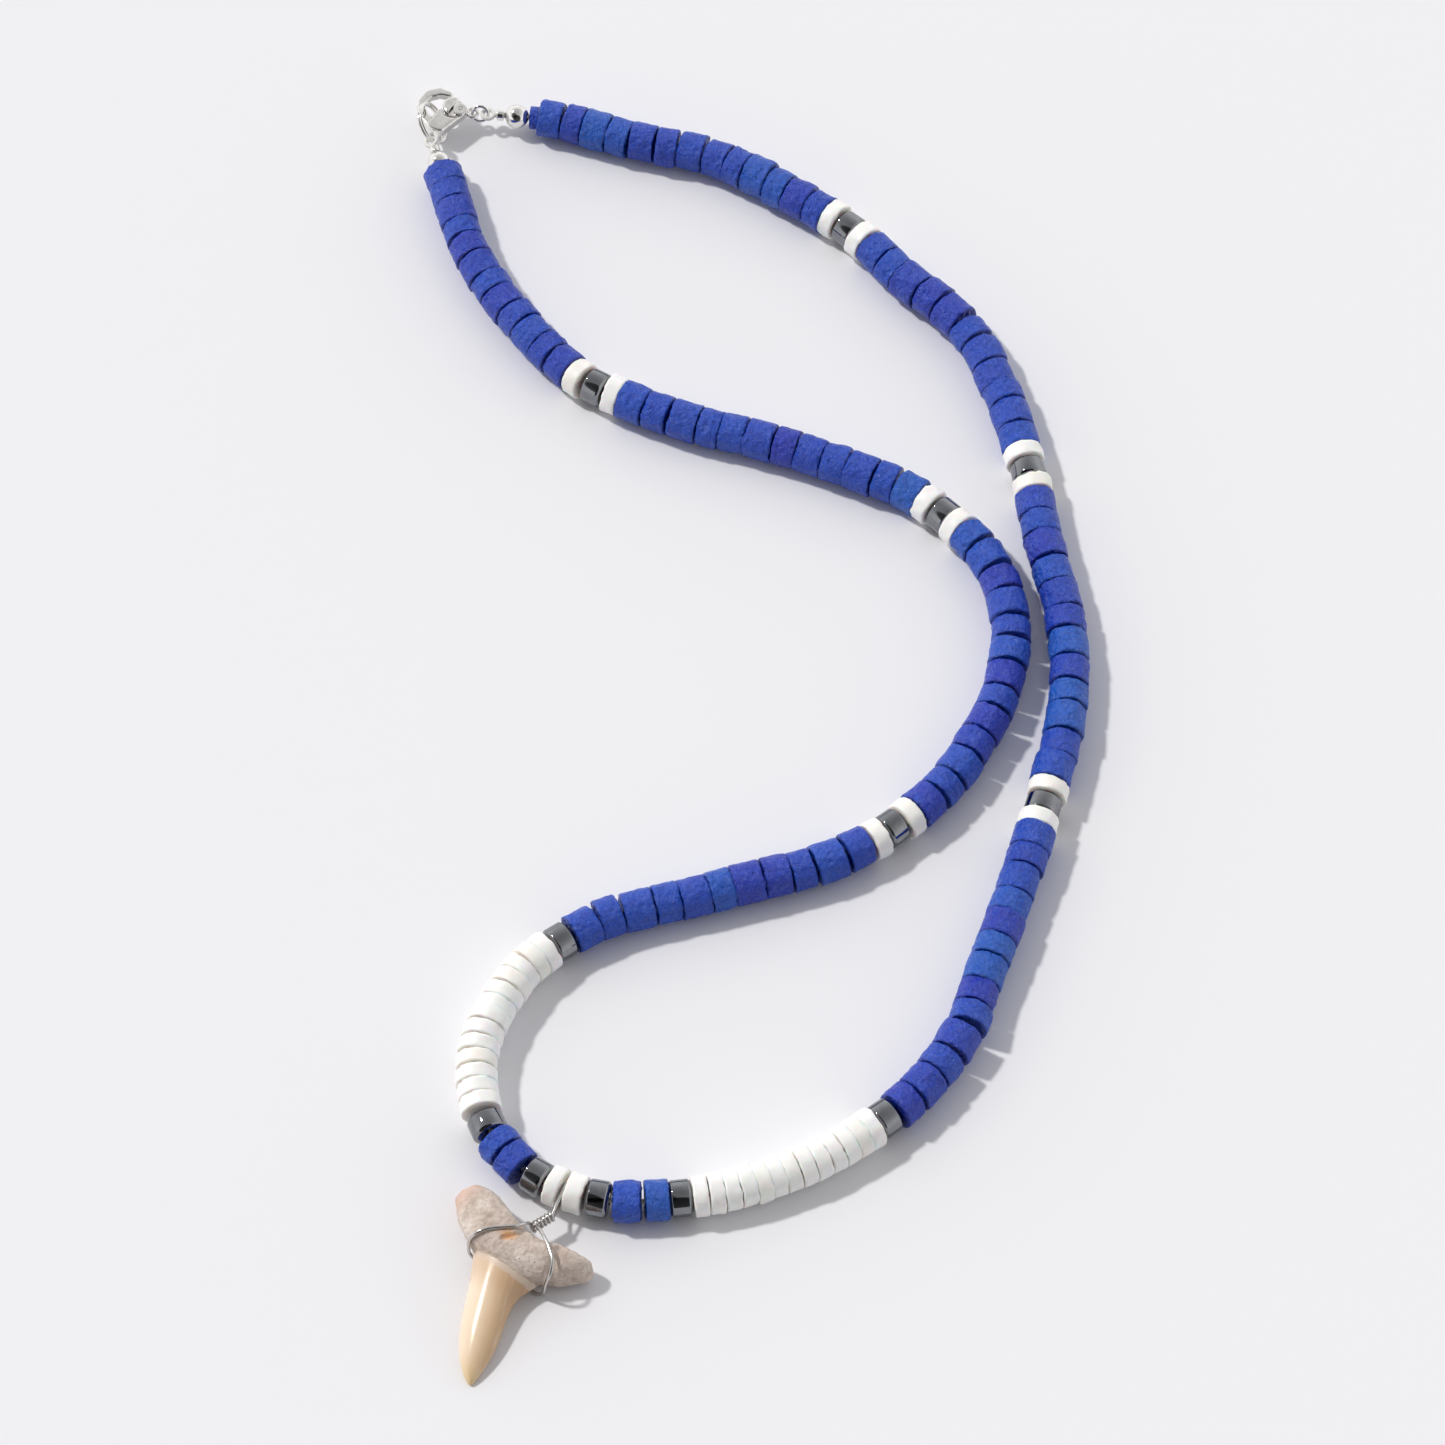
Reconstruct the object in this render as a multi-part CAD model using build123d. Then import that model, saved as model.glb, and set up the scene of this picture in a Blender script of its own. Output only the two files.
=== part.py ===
from build123d import *
import math
import os

# Shark tooth necklace, in millimetres, lying on a surface at z = 0.
# It is a closed loop: a string of disc beads, a lobster clasp on one end, a
# split ring hooked in it on the other, and a wire-wrapped tooth in the middle.

# Beads
COCONUT_DIAMETER = 4.8
COCONUT_EDGE = 0.25
SPACER_DIAMETER = 2.8
SPACER_THICKNESS = 0.8
SHELL_DIAMETER = 4.7
SHELL_THICKNESS = 1.66
SHELL_EDGE = 0.35
HEMATITE_DIAMETER = 4.1
HEMATITE_LENGTH = 2.4
HEMATITE_CHAMFER = 0.4
BEAD_BORE = 1.2
BEAD_GAP = 0.12
PLACING_ROUNDS = 3

# Thread and the small metal beads on its ends
THREAD_DIAMETER = 0.6
LOOP_THREAD_DIAMETER = 0.5
CLASP_LOOP_RADIUS = 0.68
RING_LOOP_RADIUS = 0.78
BALL_DIAMETER = 2.9
BALL_SEAT = 0.7
CRIMP_DIAMETER = 1.3
CRIMP_LENGTH = 0.85
CRIMP_EDGE = 0.15
METAL_BORE = 0.8

# Clasp: lengths named as shares follow its length, from its eye to its far side
CLASP_LENGTH = 6.6
CLASP_BOTTOM = -0.6
CLASP_TOP = 0.75
CLAW_THICKNESS = 1.1
CLASP_EDGE = 0.25
EYE_RADIUS = 0.62
EYE_WIRE = 0.46
LEVER_BOTTOM = -0.2
LEVER_TOP = 0.95
LEVER_EDGE = 0.3
LEVER_OPENING = 22.0
SWING_STEPS = 4
LEVER_CLEARANCE = 0.12
CHEEK_THICKNESS = 0.3
PIN_DIAMETER = 0.4
PIN_CLEARANCE = 0.05

# Jump ring and split ring
JUMP_RING_RADIUS = 0.95
JUMP_RING_WIRE = 0.4
JUMP_RING_LEAN = 62.0
SPLIT_RING_RADIUS = 2.5
SPLIT_RING_WIRE = 0.4
SPLIT_RING_PITCH = 0.36
SPLIT_RING_LEAN = 56.0

# Tooth, lying on its flat face, with its crown towards -Y of its own frame
TOOTH_TURN = -37.3
ROOT_WIDTH = 17.6
ROOT_HEIGHT = 6.6
ROOT_THICKNESS = 4.5
ROOT_ROUNDING = 0.42
ROOT_LEFT_SHARE = -0.557
CROWN_LENGTH = 13.5
CROWN_WIDTH = 7.8
CROWN_THICKNESS = 3.4
CROWN_EDGE_HEIGHT = 0.25
CROWN_TOP_SHARE = -0.53

# Wire that holds the tooth: wrapped round the root, coiled, and looped over the thread
WIRE_DIAMETER = 0.38
WIRE_CLEARANCE = 0.1
COIL_DIAMETER = 1.28
COIL_CORE = 0.8
COIL_LENGTH = 2.8
COIL_TURNS = 6
COIL_HEIGHT = 2.8
COIL_TURN = 72.0
BAIL_REACH = 3.6
BAIL_BACK = 0.8
BAIL_RISE = 1.1

# Each run of an arc's corner takes this share of the shorter run beside it
RUN_SHARE = 0.45

# Route of the string on the surface, from the clasp's loop round to the last bend
# before the split ring, whose place gives the route its end
STRING_ROUTE = [
    (-27.4, 85.3), (-20.0, 84.6), (-10.5, 81.2), (-2.5, 79.7), (7.4, 74.0), (15.8, 67.5),
    (21.4, 60.8), (29.1, 53.6), (33.3, 42.3), (35.7, 31.5), (36.9, 22.4), (39.3, 12.5),
    (39.4, 1.5), (36.8, -9.4), (33.6, -20.8), (29.8, -31.9), (26.2, -43.2), (19.6, -51.5),
    (10.1, -58.4), (0.4, -62.1), (-11.4, -63.5), (-20.2, -60.7), (-26.1, -53.9),
    (-27.2, -44.3), (-22.5, -33.8), (-13.6, -27.3), (-0.1, -23.8), (13.9, -19.6),
    (24.6, -11.1), (31.1, 0.5), (33.4, 11.1), (30.8, 21.1), (22.8, 29.8), (9.0, 36.1),
    (-6.0, 40.6), (-17.1, 46.0), (-24.7, 55.5), (-30.1, 64.9), (-32.6, 74.0),
]

# The string in order: kind of bead, how many, thickness as a share of the mean. The last
# bead of the left half is hollowed where the ball bead sits in it
COCONUT_KINDS = ("coconut", "seated")
MARKER = [("shell", 1, 1.0), ("hematite", 1, 1.0), ("shell", 1, 1.0)]
RIGHT_RUNS = (
    [("spacer", 1, 1.0), ("coconut", 13, 0.95)] + MARKER
    + [("coconut", 11, 1.05)] + MARKER
    + [("coconut", 12, 1.11)] + MARKER
    + [("coconut", 13, 1.03), ("hematite", 1, 1.0), ("shell", 13, 0.885)]
    + [("hematite", 1, 1.0), ("coconut", 1, 0.88), ("coconut", 1, 1.04), ("hematite", 1, 1.0)]
    + [("shell", 1, 1.05)]
)
LEFT_RUNS = (
    [("shell", 1, 0.78), ("hematite", 1, 1.0), ("coconut", 2, 0.85), ("hematite", 1, 1.0)]
    + [("shell", 13, 0.885), ("hematite", 1, 1.0), ("coconut", 11, 1.06)] + MARKER
    + [("coconut", 13, 1.03)] + MARKER
    + [("coconut", 12, 1.04)] + MARKER
    + [("coconut", 11, 0.94), ("seated", 1, 0.94)]
)

# How one coconut bead differs from the next, over and over
THICKNESS_PATTERN = (1.0, 0.84, 1.13, 0.95, 1.08, 0.88, 1.12)

# Root of the tooth, from the left lobe to the right: place along the width, upper and
# lower edge as shares of the height, and thickness as a share of the root's
ROOT_SECTIONS = [
    (0.012, -0.02, 0.12, 0.30),
    (0.057, 0.17, 0.22, 0.62),
    (0.160, 0.24, 0.47, 0.88),
    (0.300, 0.16, 0.67, 1.00),
    (0.470, 0.03, 0.74, 1.00),
    (0.615, 0.01, 0.69, 1.00),
    (0.740, 0.11, 0.59, 0.97),
    (0.845, 0.19, 0.42, 0.84),
    (0.943, 0.23, 0.13, 0.64),
    (0.990, 0.19, -0.04, 0.32),
]

# Crown, from inside the root to the tip: place along the length, left and right edge as
# shares of the width, thickness and height of the flat face as shares of the thickness
CROWN_SECTIONS = [
    (0.00, -0.57, 0.51, 1.00, 0.10),
    (0.10, -0.52, 0.47, 0.98, 0.09),
    (0.22, -0.385, 0.42, 0.93, 0.08),
    (0.36, -0.25, 0.46, 0.87, 0.06),
    (0.50, -0.13, 0.545, 0.80, 0.045),
    (0.64, -0.005, 0.625, 0.71, 0.03),
    (0.77, 0.147, 0.667, 0.60, 0.01),
    (0.88, 0.314, 0.685, 0.45, 0.00),
    (0.955, 0.475, 0.685, 0.28, 0.00),
    (0.995, 0.61, 0.67, 0.14, 0.00),
]

# Clasp seen from above, its eye at the origin: discs (x, y, radius) that its claw runs
# through, that its body covers and that its lever covers, and the split ring's centre,
# all as shares of the clasp's length
CLAW_DISCS = [
    (-0.417, 0.390, 0.060),
    (-0.600, 0.455, 0.085),
    (-0.790, 0.400, 0.088),
    (-0.911, 0.240, 0.075),
    (-0.936, 0.060, 0.075),
    (-0.865, -0.110, 0.086),
    (-0.745, -0.260, 0.110),
]
BODY_DISCS = [
    (-0.700, -0.320, 0.113),
    (-0.580, -0.385, 0.098),
    (-0.575, -0.030, 0.060),
    (-0.215, 0.015, 0.129),
]
LEVER_HEAD = (-0.335, 0.080, 0.205)
LEVER_ROOT = (-0.215, 0.015, 0.068)
SPLIT_RING_CENTRE = (-0.728, -0.245)

# Wrap of the wire round the root: place along the width, place along the height, and
# height above the surface as shares of the root's sizes, from the coil by the left
# side and under the tooth to the right side and back
WRAP_POINTS = [
    (0.526, 0.175, 0.62),
    (0.520, 0.120, 0.90),
    (0.515, -0.010, 1.10),
    (0.490, -0.150, 1.18),
    (0.430, -0.290, 1.18),
    (0.375, -0.430, 1.20),
    (0.335, -0.580, 1.17),
    (0.305, -0.700, 1.00),
    (0.296, -0.735, 0.74),
    (0.296, -0.740, 0.27),
    (0.325, -0.715, 0.055),
    (0.800, -0.600, 0.055),
    (0.830, -0.575, 0.27),
    (0.840, -0.550, 0.75),
    (0.848, -0.435, 1.03),
    (0.818, -0.275, 1.15),
    (0.735, -0.105, 1.18),
    (0.637, 0.042, 1.13),
    (0.565, 0.150, 0.92),
    (0.541, 0.185, 0.66),
]


def corner_radii(points):
    radii = []
    for before, corner, after in zip(points, points[1:], points[2:]):
        run_in = corner - before
        run_out = after - corner
        turn = math.radians(run_in.get_angle(run_out))
        radii.append(RUN_SHARE * min(run_in.length, run_out.length) / math.tan(turn / 2))
    return radii


def total_turn(points):
    turns = [(b - a).get_angle(c - b) for a, b, c in zip(points, points[1:], points[2:])]
    return math.radians(sum(turns))


def tube(path, diameter):
    start = Plane(origin=path @ 0, z_dir=path % 0)
    return sweep(start * Circle(diameter / 2), path=path)


def drilled(outer, length, bore):
    return outer - Cylinder(bore / 2, 2 * length)


def rounded_disc(diameter, thickness, edge, bore=BEAD_BORE):
    disc = Cylinder(diameter / 2, thickness)
    disc = fillet(disc.edges().filter_by(GeomType.CIRCLE), edge)
    return drilled(disc, thickness, bore)


def hematite_drum(length):
    drum = Cylinder(HEMATITE_DIAMETER / 2, length)
    drum = chamfer(drum.edges().filter_by(GeomType.CIRCLE), HEMATITE_CHAMFER)
    return drilled(drum, length, BEAD_BORE)


def make_bead(kind, thickness):
    if kind in COCONUT_KINDS:
        bead = rounded_disc(COCONUT_DIAMETER, thickness, COCONUT_EDGE)
        return bead - ball_seat(thickness) if kind == "seated" else bead
    if kind == "spacer":
        return rounded_disc(SPACER_DIAMETER, thickness, COCONUT_EDGE)
    if kind == "shell":
        return rounded_disc(SHELL_DIAMETER, thickness, SHELL_EDGE)
    return hematite_drum(thickness)


def ball_seat(thickness):
    centre = thickness / 2 + BEAD_GAP + BALL_DIAMETER / 2 - BALL_SEAT
    return Pos(0, 0, centre) * Sphere(BALL_DIAMETER / 2 + BEAD_GAP)


def bead_radius(kind):
    diameters = {
        "coconut": COCONUT_DIAMETER,
        "seated": COCONUT_DIAMETER,
        "spacer": SPACER_DIAMETER,
        "shell": SHELL_DIAMETER,
        "hematite": HEMATITE_DIAMETER,
    }
    return diameters[kind] / 2


# Clasp end: each ring lies one step further out along the string's first run
string_height = COCONUT_DIAMETER / 2
first_points = [Vector(x, y, string_height) for x, y in STRING_ROUTE]
outward = (first_points[0] - first_points[1]).normalized()
clasp_loop_centre = first_points[0] + outward * CLASP_LOOP_RADIUS
jump_centre = clasp_loop_centre + outward * JUMP_RING_RADIUS
eye_centre = jump_centre + outward * JUMP_RING_RADIUS
clasp_place = Pos(eye_centre)

# Other end: the split ring hangs in the claw, and the thread's last loop holds it
ring_centre = eye_centre + Vector(*SPLIT_RING_CENTRE) * CLASP_LENGTH
ring_loop_centre = ring_centre - Vector(0, SPLIT_RING_RADIUS, 0)
homeward = (first_points[-1] - ring_loop_centre).normalized()
route = first_points + [ring_loop_centre + homeward * RING_LOOP_RADIUS]

# The string's path, with a loop, a crimp bead and a ball bead at each end
string_path = FilletPolyline(*route, radius=corner_radii(route))
end_length = CRIMP_LENGTH + BALL_DIAMETER + 3 * BEAD_GAP + LOOP_THREAD_DIAMETER / 2
bail_gap = WIRE_DIAMETER + 2 * WIRE_CLEARANCE


def string_place(distance):
    """Plane across the string, this far along it, with its z along the thread."""
    where = string_path.position_at(distance, position_mode=PositionMode.LENGTH)
    along = string_path.tangent_at(distance, position_mode=PositionMode.LENGTH)
    return Plane(origin=where, x_dir=(0, 0, 1), z_dir=along)


def fixed_thickness(kind, share):
    sizes = {"shell": SHELL_THICKNESS, "hematite": HEMATITE_LENGTH, "spacer": SPACER_THICKNESS}
    return sizes[kind] * share


def coconut_shares(runs):
    """Thickness of each coconut bead, as a share of the mean one."""
    shares = []
    for kind, count, share in runs:
        if kind in COCONUT_KINDS:
            shares += [share * pattern_share(i) for i in range(count)]
    return shares


def pattern_share(index):
    return THICKNESS_PATTERN[index % len(THICKNESS_PATTERN)]


def mean_coconut_thickness():
    """The coconut beads fill what the other beads and their gaps leave of the string."""
    runs = RIGHT_RUNS + LEFT_RUNS
    fixed = sum(n * fixed_thickness(k, share) for k, n, share in runs if k not in COCONUT_KINDS)
    beads = sum(n for _, n, _ in runs)
    gaps = beads * BEAD_GAP + bail_gap + string_height * total_turn(route)
    room = string_path.length - 2 * end_length + BALL_SEAT - fixed - gaps
    return room / sum(coconut_shares(runs))


def list_beads(runs):
    mean = mean_coconut_thickness()
    beads = []
    for kind, count, share in runs:
        for i in range(count):
            if kind in COCONUT_KINDS:
                beads.append((kind, mean * share * pattern_share(i)))
            else:
                beads.append((kind, fixed_thickness(kind, share)))
    return beads


def next_place(last, reach, gap, radius):
    """Distance at which two faces clear each other by the gap, also where the string bends."""
    before = string_place(last)
    distance = last + reach + gap
    for _ in range(PLACING_ROUNDS):
        bend = math.radians(before.z_dir.get_angle(string_place(distance).z_dir))
        distance = last + reach + gap + radius * bend
    return distance


def place_string():
    """Beads as (kind, thickness, plane) for each half, and where the bail hangs."""
    halves = []
    bail = 0.0
    last = end_length
    last_half = 0.0
    last_radius = 0.0
    for runs in (RIGHT_RUNS, LEFT_RUNS):
        placed = []
        for kind, thickness in list_beads(runs):
            first_left = runs is LEFT_RUNS and not placed
            gap = bail_gap if first_left else BEAD_GAP
            radius = max(last_radius, bead_radius(kind))
            distance = next_place(last, last_half + thickness / 2, gap, radius)
            if first_left:
                bail = (last + last_half + distance - thickness / 2) / 2
            placed.append((kind, thickness, string_place(distance)))
            last = distance
            last_half = thickness / 2
            last_radius = bead_radius(kind)
        halves.append(placed)
    return halves[0], halves[1], bail


def bead_node(placed, kinds):
    solids = [plane * make_bead(kind, size) for kind, size, plane in placed if kind in kinds]
    return Compound(children=solids)


def ball_bead(plane):
    return plane * drilled(Sphere(BALL_DIAMETER / 2), BALL_DIAMETER, METAL_BORE)


def crimp_bead(plane):
    return plane * rounded_disc(CRIMP_DIAMETER, CRIMP_LENGTH, CRIMP_EDGE, METAL_BORE)


def thread():
    line = tube(string_path, THREAD_DIAMETER)
    clasp_loop = Pos(clasp_loop_centre) * Torus(CLASP_LOOP_RADIUS, LOOP_THREAD_DIAMETER / 2)
    across = Plane(origin=ring_loop_centre, x_dir=homeward, z_dir=ring_wire_direction())
    ring_loop = across * Torus(RING_LOOP_RADIUS, LOOP_THREAD_DIAMETER / 2)
    return line + clasp_loop + ring_loop


def ring_wire_direction():
    """Way the split ring's wire runs where the thread's loop holds it, square to the loop."""
    lean = math.radians(SPLIT_RING_LEAN)
    wire = Vector(math.cos(lean), 0, -math.sin(lean))
    return (wire - homeward * wire.dot(homeward)).normalized()


def jump_ring():
    lean = math.radians(JUMP_RING_LEAN)
    side = outward.cross(Vector(0, 0, 1))
    axis = Vector(0, 0, 1) * math.cos(lean) - side * math.sin(lean)
    place = Plane(origin=jump_centre, x_dir=outward, z_dir=axis)
    return place * Torus(JUMP_RING_RADIUS, JUMP_RING_WIRE / 2)


def split_ring():
    turns = Sketch()
    for side in (-0.5, 0.5):
        turns += Pos(SPLIT_RING_RADIUS, side * SPLIT_RING_PITCH) * Circle(SPLIT_RING_WIRE / 2)
    ring = revolve(Plane.XZ * turns, Axis.Z)
    return Pos(ring_centre) * Rot(0, SPLIT_RING_LEAN, 0) * ring


def disc(row, extra=0.0):
    x, y, radius = row
    return Pos(x * CLASP_LENGTH, y * CLASP_LENGTH) * Circle(radius * CLASP_LENGTH + extra)


def hull_of(rows, extra=0.0):
    return make_hull(ShapeList([edge for row in rows for edge in disc(row, extra).edges()]))


def rounded_plate(outline, low, high, edge):
    plate = Pos(0, 0, low) * extrude(outline, high - low)
    level = plate.faces().filter_by(Axis.Z).sort_by(Axis.Z)
    return fillet(level[0].edges() + level[-1].edges(), edge)


def at_pivot(shape):
    return Pos(LEVER_ROOT[0] * CLASP_LENGTH, LEVER_ROOT[1] * CLASP_LENGTH) * shape


def swept_lever():
    """Outline of all that the lever covers between shut and open, with its clearance."""
    outline = hull_of([LEVER_HEAD, LEVER_ROOT], LEVER_CLEARANCE)
    back = at_pivot(Pos()).inverse()
    swept = Sketch()
    for i in range(SWING_STEPS + 1):
        swept += at_pivot(Rot(0, 0, LEVER_OPENING * i / SWING_STEPS) * back * outline)
    return swept


def clasp_body():
    claw = Sketch()
    for near, far in zip(CLAW_DISCS, CLAW_DISCS[1:]):
        claw += hull_of([near, far])
    body = rounded_plate(claw, -CLAW_THICKNESS / 2, CLAW_THICKNESS / 2, CLASP_EDGE)
    body += rounded_plate(hull_of(BODY_DISCS), CLASP_BOTTOM, CLASP_TOP, CLASP_EDGE)
    pocket = Pos(0, 0, LEVER_BOTTOM - LEVER_CLEARANCE) * extrude(swept_lever(), LEVER_TOP * 2)
    cheek = Pos(0, 0, CLASP_TOP - CHEEK_THICKNESS) * extrude(disc(BODY_DISCS[-1]), CHEEK_THICKNESS)
    body = body - pocket + cheek
    body += Torus(EYE_RADIUS, EYE_WIRE / 2)
    body -= at_pivot(Cylinder(PIN_DIAMETER / 2 + PIN_CLEARANCE, 4 * CLASP_TOP))
    return clasp_place * body


def clasp_lever():
    lever = Pos(0, 0, LEVER_BOTTOM) * extrude(hull_of([LEVER_HEAD, LEVER_ROOT]), LEVER_TOP - LEVER_BOTTOM)
    lever = fillet(lever.faces().sort_by(Axis.Z)[-1].edges(), LEVER_EDGE)
    # Its tongue is lower than its head, to swing under the cheek
    reach = BODY_DISCS[-1][2] * CLASP_LENGTH + LEVER_CLEARANCE
    tongue_top = CLASP_TOP - CHEEK_THICKNESS - LEVER_CLEARANCE
    headward = math.atan2(LEVER_HEAD[1] - LEVER_ROOT[1], LEVER_HEAD[0] - LEVER_ROOT[0])
    above = Box(CLASP_LENGTH, CLASP_LENGTH, LEVER_TOP, align=(Align.MAX, Align.CENTER, Align.MIN))
    lever -= at_pivot(Rot(0, 0, math.degrees(headward)) * Pos(reach, 0, tongue_top) * above)
    lever -= at_pivot(Cylinder(PIN_DIAMETER / 2 + PIN_CLEARANCE, 4 * LEVER_TOP))
    return clasp_place * lever


def clasp_pin():
    pin = Cylinder(PIN_DIAMETER / 2, CLASP_TOP - CLASP_BOTTOM)
    return clasp_place * at_pivot(Pos(0, 0, (CLASP_TOP + CLASP_BOTTOM) / 2) * pin)


# The tooth's wire reaches square out from the string, and ends in the coil
right_beads, left_beads, bail_distance = place_string()
bail_plane = string_place(bail_distance)
bail_outward = Vector(0, 0, 1).cross(bail_plane.z_dir)
coil_end = bail_plane.origin + bail_outward * BAIL_REACH + Vector(0, 0, COIL_HEIGHT - string_height)
coil_direction = Vector(1, 0, 0).rotate(Axis.Z, TOOTH_TURN + COIL_TURN)
coil_start = coil_end - coil_direction * COIL_LENGTH
coil_foot = coil_start + coil_direction * WIRE_DIAMETER
tooth_floor = WIRE_DIAMETER + WIRE_CLEARANCE
root_left = ROOT_LEFT_SHARE * ROOT_WIDTH


def wrap_point(across, along, up):
    x = root_left + across * ROOT_WIDTH
    return Vector(x, along * ROOT_HEIGHT, up * ROOT_THICKNESS)


# The wrap starts inside the coil's foot, which gives the tooth its place
foot = (wrap_point(*WRAP_POINTS[0]) + wrap_point(*WRAP_POINTS[-1])) / 2
tooth_shift = coil_foot - foot.rotate(Axis.Z, TOOTH_TURN)
tooth_place = Pos(tooth_shift.X, tooth_shift.Y, 0) * Rot(0, 0, TOOTH_TURN)


def root_section(share, upper, lower, thick):
    height = (upper + lower) * ROOT_HEIGHT
    depth = thick * ROOT_THICKNESS
    middle = (upper - lower) * ROOT_HEIGHT / 2
    x = root_left + share * ROOT_WIDTH
    place = Plane(origin=(x, middle, tooth_floor + depth / 2), x_dir=(0, 1, 0), z_dir=(1, 0, 0))
    return place * RectangleRounded(height, depth, ROOT_ROUNDING * min(height, depth))


def crown_section(share, left, right, thick, floor):
    y = CROWN_TOP_SHARE * ROOT_HEIGHT - share * CROWN_LENGTH
    depth = thick * CROWN_THICKNESS
    low = tooth_floor * (1 - share) + floor * CROWN_THICKNESS
    edge = low + CROWN_EDGE_HEIGHT * depth
    middle = (left + right) / 2 * CROWN_WIDTH
    ends = [(left * CROWN_WIDTH, y, edge), (right * CROWN_WIDTH, y, edge)]
    domed = ThreePointArc(ends[0], (middle, y, low + depth), ends[1])
    flat = ThreePointArc(ends[1], (middle, y, low), ends[0])
    return make_face([domed, flat])


def shark_tooth():
    root = loft([root_section(*row) for row in ROOT_SECTIONS])
    crown = loft([crown_section(*row) for row in CROWN_SECTIONS])
    return tooth_place * (root + crown)


def smooth_tube(points, diameter):
    return tube(FilletPolyline(*points, radius=corner_radii(points)), diameter)


def tooth_wire():
    wrap = tooth_place * smooth_tube([wrap_point(*row) for row in WRAP_POINTS], WIRE_DIAMETER)
    along = Plane(origin=coil_start, z_dir=coil_direction)
    core = Cylinder(COIL_CORE / 2, COIL_LENGTH, align=(Align.CENTER, Align.CENTER, Align.MIN))
    coil = along * core
    for i in range(COIL_TURNS):
        step = (i + 0.5) * COIL_LENGTH / COIL_TURNS
        coil += along * Pos(0, 0, step) * Torus((COIL_DIAMETER - WIRE_DIAMETER) / 2, WIRE_DIAMETER / 2)
    return wrap + coil + bail()


def bail():
    """Loop of wire from the coil's end over the thread, round behind it and back under."""
    half = THREAD_DIAMETER / 2 + WIRE_DIAMETER + 2 * WIRE_CLEARANCE
    back = -half * BAIL_BACK
    inside = BAIL_REACH + WIRE_DIAMETER
    lift = COIL_HEIGHT - string_height
    profile = [
        (inside, lift + COIL_CORE / 4),
        (BAIL_REACH / 2, half * BAIL_RISE),
        (back, half),
        (back, -half),
        (BAIL_REACH / 2, -half),
        (inside, lift - COIL_CORE / 4),
    ]
    origin = bail_plane.origin
    points = [origin + bail_outward * out + Vector(0, 0, up) for out, up in profile]
    return smooth_tube(points, WIRE_DIAMETER)


NODES = {
    "coconut_beads_right": bead_node(right_beads, ("coconut", "spacer")),
    "coconut_beads_left": bead_node(left_beads, COCONUT_KINDS),
    "shell_beads_right": bead_node(right_beads, ("shell",)),
    "shell_beads_left": bead_node(left_beads, ("shell",)),
    "hematite_beads_right": bead_node(right_beads, ("hematite",)),
    "hematite_beads_left": bead_node(left_beads, ("hematite",)),
    "thread": thread(),
    "jump_ring": jump_ring(),
    "split_ring": split_ring(),
    "clasp_body": clasp_body(),
    "clasp_lever": clasp_lever(),
    "clasp_pin": clasp_pin(),
    "shark_tooth": shark_tooth(),
    "tooth_wire": tooth_wire(),
}

# A crimp bead and a ball bead sit behind the loop at each end of the string
crimp_at = LOOP_THREAD_DIAMETER / 2 + BEAD_GAP + CRIMP_LENGTH / 2
ball_at = crimp_at + (CRIMP_LENGTH + BALL_DIAMETER) / 2 + BEAD_GAP
NODES["crimp_bead_right"] = crimp_bead(string_place(crimp_at))
NODES["ball_bead_right"] = ball_bead(string_place(ball_at))
NODES["crimp_bead_left"] = crimp_bead(string_place(string_path.length - crimp_at))
NODES["ball_bead_left"] = ball_bead(string_place(string_path.length - ball_at))

# The origin is the middle of the necklace's box, on the surface that it lies on
boxes = [shape.bounding_box() for shape in NODES.values()]
middle_x = (min(box.min.X for box in boxes) + max(box.max.X for box in boxes)) / 2
middle_y = (min(box.min.Y for box in boxes) + max(box.max.Y for box in boxes)) / 2
centring = Pos(-middle_x, -middle_y, 0)

os.makedirs("parts", exist_ok=True)
for node, shape in NODES.items():
    export_step(shape.moved(centring), f"parts/{node}.step")

print("string", round(string_path.length, 2), "mean coconut", round(mean_coconut_thickness(), 3))
print("smallest bend", round(min(corner_radii(route)), 2), "middle", middle_x, middle_y)
pivot = (centring * clasp_place * at_pivot(Pos())).position
print("lever pivot", pivot)
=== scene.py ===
import math
import random
from collections import namedtuple

import bmesh
import bpy
from mathutils import Matrix, Vector


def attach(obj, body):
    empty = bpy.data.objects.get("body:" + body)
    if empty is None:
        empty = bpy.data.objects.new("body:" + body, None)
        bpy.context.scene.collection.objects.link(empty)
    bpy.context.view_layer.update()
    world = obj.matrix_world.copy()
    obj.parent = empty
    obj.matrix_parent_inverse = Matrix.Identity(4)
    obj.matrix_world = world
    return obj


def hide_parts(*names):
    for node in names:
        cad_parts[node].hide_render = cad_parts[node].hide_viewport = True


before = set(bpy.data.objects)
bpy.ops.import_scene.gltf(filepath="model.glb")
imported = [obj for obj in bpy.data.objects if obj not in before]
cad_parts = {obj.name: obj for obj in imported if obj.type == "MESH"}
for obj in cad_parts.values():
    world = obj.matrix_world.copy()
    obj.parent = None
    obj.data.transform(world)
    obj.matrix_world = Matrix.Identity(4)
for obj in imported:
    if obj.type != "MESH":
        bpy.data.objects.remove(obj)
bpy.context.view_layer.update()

MM = 0.001
UP = Vector((0, 0, 1))
SAME_PLACE = 1e-6

# Camera, fitted to the photograph: it looks down at the floor point in the picture's middle
CAMERA_ELEVATION = math.radians(57)
CAMERA_DISTANCE = 758.5 * MM
CAMERA_AIM = Vector((-2.568, -2.408, 0)) * MM
PICTURE_PX = 1445
FOCAL_PX = 6700
SENSOR = 36.0
CLIP_START = 10 * MM

# Floor and sun
FLOOR_SIZE = 4.0
SUN_WAY = (0.76, -0.34, -1.0)
SUN_STRENGTH = 1.9
SUN_ANGLE = math.radians(5)
SUN_COLOUR = (1.0, 0.98, 0.95)

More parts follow.
